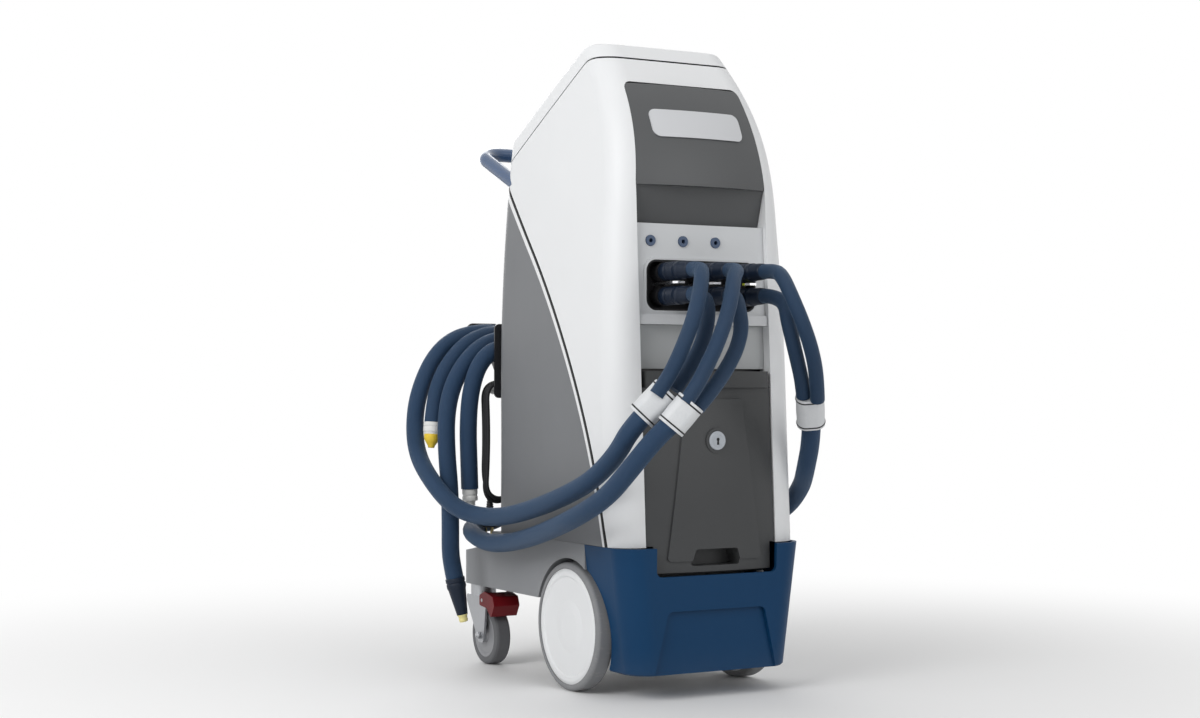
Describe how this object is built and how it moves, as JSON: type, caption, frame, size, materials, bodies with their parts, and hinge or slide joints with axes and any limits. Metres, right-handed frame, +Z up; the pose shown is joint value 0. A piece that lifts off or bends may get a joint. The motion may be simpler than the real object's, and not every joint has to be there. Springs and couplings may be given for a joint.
{
  "type": "patient warming system",
  "caption": "Wheeled tower that warms and pumps water, with twin hoses from a front port well, a drawer reservoir, a push handle and a hose hook.",
  "frame": {"origin": "on the floor, under the middle of the object without its cords", "axes": "+Z up, -Y towards the front with the ports, -X the object's side that is on the left in a front view"},
  "size_m": [0.5013, 0.7373, 1.03],
  "materials": {
    "badge": "satin",
    "black_plastic": "matt",
    "blue_handle": "gloss",
    "blue_plastic": "satin",
    "caster_tread": "matt",
    "chassis": "satin",
    "compressor_black": "satin",
    "dark_grey": "satin",
    "grey_body": "satin",
    "grey_tyre": "matt",
    "hose_blue": "satin",
    "jack": "satin",
    "label_white": "matt",
    "light_grey": "satin",
    "pale_button": "satin",
    "red_plastic": "satin",
    "screen": "gloss",
    "sheet": "satin",
    "water_tank": "satin",
    "white_body": "satin",
    "white_wheel": "satin",
    "zinc": "satin"
  },
  "bodies": {
    "root": {"front_housing": "white_body", "trim_strip_left": "white_body", "trim_strip_right": "white_body", "side_panel_left": "grey_body", "side_panel_right": "grey_body", "rear_panel": "grey_body", "top_cap": "white_body", "cap_gasket": "black_plastic", "display": "screen", "upper_fascia": "dark_grey", "badge_plate": "badge", "port_panel": "light_grey", "port_well": "black_plastic", "probe_jacks": "jack", "lower_panel": "light_grey", "base_frame": "chassis", "axle": "zinc", "front_bumper": "blue_plastic", "base_cover": "grey_body", "inner_frame": "sheet", "compressor": "compressor_black", "condenser": "sheet", "fan_shroud": "black_plastic", "circulation_pumps": "zinc", "heat_exchanger": "zinc", "water_manifold": "black_plastic", "power_supply": "sheet", "control_board": "dark_grey", "push_handle": "blue_handle", "hose_hook": "compressor_black", "mains_inlet": "black_plastic", "hose_connectors": "hose_blue", "hose_branches": "hose_blue", "hose_labels": "label_white", "hose_a_main": "hose_blue", "hose_b_main": "hose_blue", "hose_c_main": "hose_blue", "hose_ends": "label_white", "power_cord": "hose_blue", "power_cord_ends": "black_plastic"},
    "left_wheel": {"main_tyre_left": "grey_tyre", "main_wheel_left": "white_wheel"},
    "left_caster": {"caster_fork_left": "zinc"},
    "left_caster_wheel": {"caster_wheel_left": "caster_tread"},
    "left_brake": {"brake_pedal_left": "red_plastic"},
    "right_wheel": {"main_tyre_right": "grey_tyre", "main_wheel_right": "white_wheel"},
    "right_caster": {"caster_fork_right": "zinc"},
    "right_caster_wheel": {"caster_wheel_right": "caster_tread"},
    "right_brake": {"brake_pedal_right": "red_plastic"},
    "reservoir": {"reservoir_front": "dark_grey", "reservoir_grip": "dark_grey", "reservoir_tank": "water_tank", "reservoir_lid": "water_tank"},
    "latch_button": {"reservoir_latch_button": "pale_button"},
    "fan": {"cooling_fan": "black_plastic"},
    "rocker": {"power_rocker": "black_plastic"},
    "release_1": {"release_latch_1": "zinc"},
    "release_2": {"release_latch_2": "zinc"},
    "release_3": {"release_latch_3": "zinc"}
  },
  "joints": [
    {"name": "left_wheel_roll", "type": "hinge", "parent": "root", "child": "left_wheel", "pos_m": [-0.1545, -0.111, 0.1015], "axis": [1, 0, 0], "continuous": true},
    {"name": "left_caster_swivel", "type": "hinge", "parent": "root", "child": "left_caster", "pos_m": [-0.137, 0.254, 0.137], "axis": [0, 0, 1], "continuous": true},
    {"name": "left_caster_roll", "type": "hinge", "parent": "left_caster", "child": "left_caster_wheel", "pos_m": [-0.137, 0.224, 0.05], "axis": [1, 0, 0], "continuous": true},
    {"name": "left_brake_press", "type": "hinge", "parent": "left_caster", "child": "left_brake", "pos_m": [-0.137, 0.212, 0.112], "axis": [1, 0, 0], "range_deg": [0, 10]},
    {"name": "right_wheel_roll", "type": "hinge", "parent": "root", "child": "right_wheel", "pos_m": [0.1545, -0.111, 0.1015], "axis": [1, 0, 0], "continuous": true},
    {"name": "right_caster_swivel", "type": "hinge", "parent": "root", "child": "right_caster", "pos_m": [0.137, 0.254, 0.137], "axis": [0, 0, 1], "continuous": true},
    {"name": "right_caster_roll", "type": "hinge", "parent": "right_caster", "child": "right_caster_wheel", "pos_m": [0.137, 0.224, 0.05], "axis": [1, 0, 0], "continuous": true},
    {"name": "right_brake_press", "type": "hinge", "parent": "right_caster", "child": "right_brake", "pos_m": [0.137, 0.212, 0.112], "axis": [1, 0, 0], "range_deg": [0, 10]},
    {"name": "reservoir_slide", "type": "slide", "parent": "root", "child": "reservoir", "axis": [0, -1, 0], "range_m": [0, 0.06]},
    {"name": "latch_press", "type": "slide", "parent": "reservoir", "child": "latch_button", "axis": [0, 1, 0], "range_m": [0, 0.004], "stiffness_N_per_m": 400},
    {"name": "fan_spin", "type": "hinge", "parent": "root", "child": "fan", "pos_m": [0, 0.1365, 0.35], "axis": [0, 1, 0], "continuous": true},
    {"name": "rocker_tilt", "type": "hinge", "parent": "root", "child": "rocker", "pos_m": [0.104, 0.152, 0.6], "axis": [1, 0, 0], "range_deg": [0, 12]},
    {"name": "release_press_1", "type": "slide", "parent": "root", "child": "release_1", "axis": [0, 0, -1], "range_m": [0, 0.002], "stiffness_N_per_m": 400},
    {"name": "release_press_2", "type": "slide", "parent": "root", "child": "release_2", "axis": [0, 0, -1], "range_m": [0, 0.002], "stiffness_N_per_m": 400},
    {"name": "release_press_3", "type": "slide", "parent": "root", "child": "release_3", "axis": [0, 0, -1], "range_m": [0, 0.002], "stiffness_N_per_m": 400}
  ]
}
